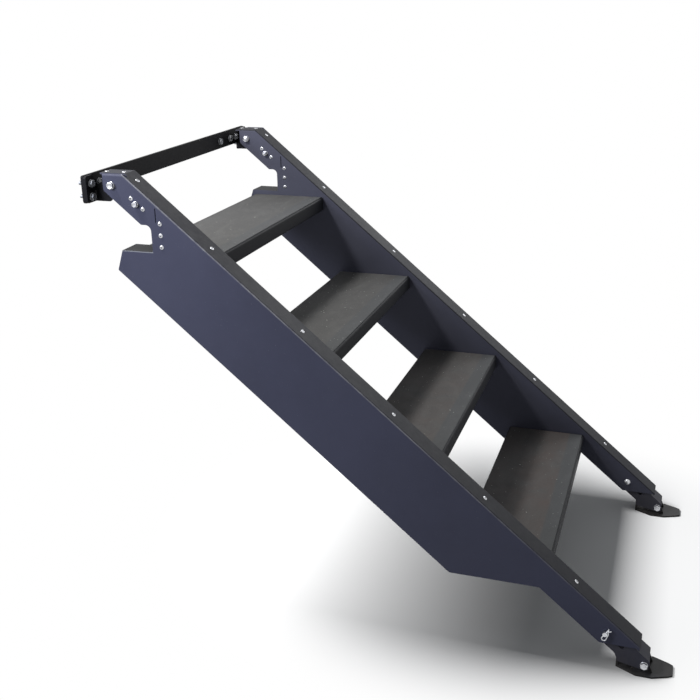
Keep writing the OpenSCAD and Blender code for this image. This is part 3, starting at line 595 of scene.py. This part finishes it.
for side, sx in BOTH_SIDES:
    outer, inner = sx * HALF_W, sx * (HALF_W - BOX_W)
    outward, inward = (sx, 0, 0), (-sx, 0, 0)
    bm = bmesh.new()
    for p in ARM_RIVETS:
        blind_rivet(bm, placed(at_x(outer, p), outward), ARM_GRIP)
        blind_rivet(bm, placed(at_x(inner, p), inward), ARM_GRIP)
    finish_piece(f"arm_rivet_heads_{side}", bm, "steps", [zinc_mat, pit_shade_mat],
                 [f"arm_rivets_{side}"])
    bm = bmesh.new()
    for points, axis, grip in ((FLAT_RIVETS, UP, FLAT_GRIP), (SLOPE_RIVETS, SLOPE_UP, SLOPE_GRIP)):
        for p in points:
            blind_rivet(bm, placed(at_x(outer - sx * RIVET_IN, p), axis), grip)
    finish_piece(f"flange_rivet_heads_{side}", bm, "steps", [zinc_mat, pit_shade_mat],
                 [f"flange_rivets_{side}"])
    for kind, inset, r, flat, past, thread_l in CROSS_BOLTS:
        body = f"leg_{side}" if kind == "foot" else "steps"
        centre = middle(f"{kind}_bolt_{side}")
        length = BOX_W - 2 * inset + WASHER_H + NUT_H + past
        bm = bmesh.new()
        bolt(bm, placed(at_x(outer - sx * inset, centre), outward), r, length, flat,
             flat + WASHER_RIM, thread_l)
        finish_piece(f"{kind}_hex_bolt_{side}", bm, body, [zinc_mat],
                     [f"{kind}_bolt_{side}"])
        bm = bmesh.new()
        nut(bm, placed(at_x(inner + sx * inset, centre), inward), r + NUT_PLAY, flat,
            flat + WASHER_RIM)
        finish_piece(f"{kind}_hex_nut_{side}", bm, body, [zinc_mat],
                     [f"{kind}_nut_{side}"])


# Bolts of the sill plate and of the bracket feet, with their heads to the front
def sill_bolts(name, stands_for, length, points):
    bm = bmesh.new()
    for point in points:
        bolt(bm, placed(point, TO_FRONT), M8_R, length, M8_FLAT, SILL_WASHER_R, THREAD_L)
    finish_piece(name, bm, "mount", [dull_shaded_zinc_mat], [stands_for])


PLATE_BOLT_IN, PLATE_BOLT_Z = (27.5 * MM, 59 * MM, 116.5 * MM), 9.5 * MM
BRACKET_BOLT_OUT, BRACKET_BOLT_Z = 10.5 * MM, 13 * MM
BRACKET_FRONT = -PLATE_T - BRACKET_T
sill_bolts("plate_hex_bolts", "plate_bolts", 19 * MM,
           [(sx * (HALF_W - inset), -PLATE_T, PLATE_BOLT_Z)
            for _, sx in BOTH_SIDES for inset in PLATE_BOLT_IN])
sill_bolts("bracket_hex_bolts", "bracket_bolts", 25 * MM,
           [(sx * (HALF_W + BRACKET_BOLT_OUT), BRACKET_FRONT, sz * BRACKET_BOLT_Z)
            for _, sx in BOTH_SIDES for sz in (-1, 1)])

# Weld beads, which the plain frame leaves out: at the lower edges of the treads' end flanges, at
# the front of the bracket ears and along the ears of the feet
rng = random.Random(7)
END_FLANGE_LOW = SHEET + 28 * MM  # lower edge of an end flange below the tread's top
WELD_L, WELD_STEP, WELD_FROM = 32 * MM, 52 * MM, 24 * MM  # along a tread, from its front
BRACKET_EAR_IN, FOOT_EAR_IN = SHEET + SIDE_GAP, LEG_INSET + SHEET + SIDE_GAP


def weld_piece(name, body, r, runs):
    """A piece of weld beads of one radius, each run being its two end points."""
    bm = bmesh.new()
    for a, b in runs:
        bead(bm, a, b, r, rng)
    finish_piece(name, bm, body, [weld_mat], sharp=60.0)


runs = []
for i in range(1, TREADS + 1):
    low_c, high_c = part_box(f"tread_{i}")
    z = high_c[2] - END_FLANGE_LOW + 0.6 * MM
    for _, sx in BOTH_SIDES:
        x = sx * (HALF_W - BOX_W - 1.2 * MM)
        for k in range(3):
            y = low_c[1] + WELD_FROM + k * WELD_STEP
            runs.append(((x, y, z), (x, y + WELD_L, z)))
weld_piece("tread_welds", "steps", 2.2 * MM, runs)
runs = []
for _, sx in BOTH_SIDES:
    x, y = sx * (HALF_W - BRACKET_EAR_IN + 0.4 * MM), BRACKET_FRONT - 0.6 * MM
    runs.append(((x, y, -22 * MM), (x, y, -2 * MM)))
weld_piece("bracket_welds", "mount", 2.4 * MM, runs)
for side, sx in BOTH_SIDES:
    y, z = middle(f"foot_bolt_{side}").y, GROUND + 4 * MM
    runs = []
    for inset in (FOOT_EAR_IN, BOX_W - FOOT_EAR_IN):
        x = sx * (HALF_W - inset)
        runs.append(((x, y - 13 * MM, z), (x, y + 21 * MM, z)))
    weld_piece(f"foot_welds_{side}", f"foot_{side}", 1.5 * MM, runs)


# Studio
def seen_rays(tree):
    """One for rays that show the background: camera, glossy and transmission rays."""
    path = new_node(tree, "ShaderNodeLightPath")
    total = path.outputs["Is Camera Ray"]
    for kind in ("Is Glossy Ray", "Is Transmission Ray"):
        n = new_node(tree, "ShaderNodeMath", operation="MAXIMUM")
        tree.links.new(total, n.inputs[0])
        tree.links.new(path.outputs[kind], n.inputs[1])
        total = n.outputs[0]
    return total


# The floor is darker for bounced light than where it is seen. Between two distances from a
# centre, in plan and with Y scaled, it fades into the white of the background.
FLOOR_HALF, FLOOR_Y, FLOOR_Z = 30.0, -0.6, GROUND - 0.2 * MM
BOUNCED, SEEN = (0.3, 0.3, 0.3), (0.9, 0.9, 0.9)
FADE_X, FADE_Y, FADE_Y_SCALE = 0.06, -0.75, 0.8
FADE_FROM, FADE_TO = 0.42, 0.68

mesh = bpy.data.meshes.new("floor")
mesh.from_pydata([(x * FLOOR_HALF, FLOOR_Y + y * FLOOR_HALF, FLOOR_Z)
                  for x, y in ((-1, -1), (1, -1), (1, 1), (-1, 1))], [], [(0, 1, 2, 3)])
floor = in_scene(bpy.data.objects.new("floor", mesh))
g = Graph("floor_pale")
g.set(Roughness=0.9, Specular_IOR_Level=0.0)
seen = seen_rays(g.tree)
g.colour(g.mix(seen, BOUNCED, SEEN))
centred = g.mapped(g.coord, Location=(-FADE_X, -FADE_Y * FADE_Y_SCALE, -GROUND),
                   Scale=(1.0, FADE_Y_SCALE, 1.0))
away = g.add("ShaderNodeVectorMath", operation="LENGTH")
g.link(centred, away.inputs[0])
far = g.fade(away.outputs["Value"], FADE_FROM, FADE_TO, interpolation_type="SMOOTHSTEP")
glow = g.add("ShaderNodeEmission")
glow.inputs["Color"].default_value = (*WHITE, 1.0)
glow.inputs["Strength"].default_value = 1.0
blend = g.add("ShaderNodeMixShader")
g.link(g.product(seen, far), blend.inputs["Fac"])
g.link(g.bsdf.outputs["BSDF"], blend.inputs[1])
g.link(glow.outputs["Emission"], blend.inputs[2])
g.link(blend.outputs["Shader"], g.out.inputs["Surface"])
floor.data.materials.append(g.mat)

# The world lights the scene faintly and is seen as white
world = bpy.data.worlds.new("studio")
bpy.context.scene.world = world
world.use_nodes = True
tree = world.node_tree
tree.nodes.clear()
blend = new_node(tree, "ShaderNodeMixShader")
tree.links.new(seen_rays(tree), blend.inputs["Fac"])
for socket, colour, strength in ((1, (0.94, 0.97, 1.0), 0.18), (2, WHITE, 1.0)):
    shade = new_node(tree, "ShaderNodeBackground")
    shade.inputs["Color"].default_value = (*colour, 1.0)
    shade.inputs["Strength"].default_value = strength
    tree.links.new(shade.outputs["Background"], blend.inputs[socket])
tree.links.new(blend.outputs["Shader"], new_node(tree, "ShaderNodeOutputWorld").inputs["Surface"])

# One lamp lights the floor alone, for the soft shadow; the others light everything else
floor_only = bpy.data.collections.new("floor_only")
floor_only.objects.link(floor)
not_floor = bpy.data.collections.new("not_floor")
not_floor.objects.link(floor)
not_floor.collection_objects[0].light_linking.link_state = "EXCLUDE"


def area(name, location, target, size, power, colour, lights):
    """A soft lamp aimed at a point, of a width and length, for the objects that lights names."""
    data = bpy.data.lights.new(name, "AREA")
    data.shape = "RECTANGLE"
    data.size, data.size_y = size
    data.energy = power
    data.color = colour
    obj = in_scene(bpy.data.objects.new(name, data))
    obj.location = location
    aim = Vector(target) - Vector(location)
    obj.rotation_mode = "QUATERNION"
    obj.rotation_quaternion = aim.to_track_quat("-Z", "Y")
    obj.light_linking.receiver_collection = lights


area("top", (-0.5, 0.3, 0.85), (0.0, -0.35, -0.3), (0.16, 0.16), 13.0, (1.0, 0.985, 0.96),
     not_floor)
area("side", (-1.2, 0.45, 0.4), (-0.3, -0.3, -0.2), (0.5, 0.5), 16.0, (0.92, 0.95, 1.08),
     not_floor)
area("far_fill", (2.6, -1.3, 1.0), (0.3, -0.5, -0.4), (1.6, 1.6), 19.0, (0.95, 0.97, 1.0),
     not_floor)
area("ground", (0.0, 0.8, 1.35), (0.0, -0.85, GROUND), (0.75, 1.1), 112.0, WHITE, floor_only)

# Camera, solved from the photograph
AZIMUTH, ELEVATION, ROLL = 70.9832, 20.3424, -1.1283
FOCAL_PX, FRAME_PX, SENSOR = 975.0, 700.0, 36.0
EYE = Vector((-2.0011, -1.1086, 0.36225))
az, el, roll = (math.radians(a) for a in (AZIMUTH, ELEVATION, ROLL))
look = Vector((math.sin(az) * math.cos(el), math.cos(az) * math.cos(el), -math.sin(el)))
right = Vector((math.cos(az), -math.sin(az), 0.0))
up = right.cross(look)
cam_right = right * math.cos(roll) + up * math.sin(roll)
cam_up = up * math.cos(roll) - right * math.sin(roll)
cam_data = bpy.data.cameras.new("camera")
cam_data.sensor_width = SENSOR
cam_data.lens = FOCAL_PX * SENSOR / FRAME_PX
cam_data.clip_start, cam_data.clip_end = 0.05, 200.0
camera = in_scene(bpy.data.objects.new("camera", cam_data))
turn = Matrix((cam_right, cam_up, -look)).transposed()
camera.matrix_world = Matrix.Translation(EYE) @ turn.to_4x4()
bpy.context.scene.camera = camera

bpy.context.scene.view_settings.view_transform = "Standard"

bpy.context.view_layer.update()
